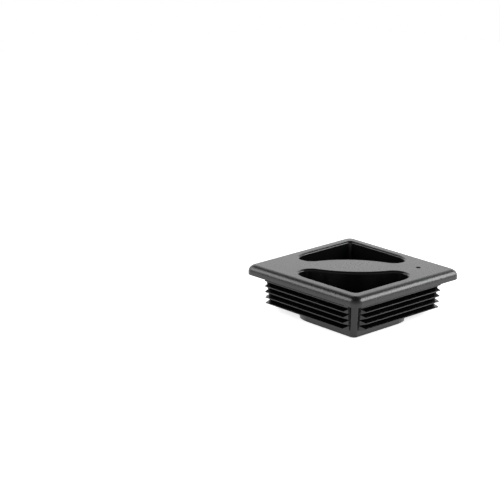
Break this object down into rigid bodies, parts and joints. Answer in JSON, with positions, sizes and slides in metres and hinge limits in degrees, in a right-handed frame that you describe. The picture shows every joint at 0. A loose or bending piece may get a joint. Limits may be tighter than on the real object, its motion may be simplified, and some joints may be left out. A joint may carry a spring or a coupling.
{
  "type": "tube end cap",
  "caption": "Square push-in end cap for a box tube, with a rounded head, barbed fins round the plug, two vented finger pockets and a diagonal grip strap.",
  "frame": {"origin": "centre of the bounding box, at the feet of the two wells that the cap stands on", "axes": "+Z out of the face of the head, away from the tube; X and Y along the sides of the head; the strap runs from the -X -Y corner to the +X +Y corner, which has the small hole"},
  "size_m": [0.108, 0.108, 0.033],
  "materials": {
    "moulding": "charcoal black, satin, with a fine moulded grain"
  },
  "bodies": {
    "root": {"end_cap": "moulding"}
  },
  "joints": []
}
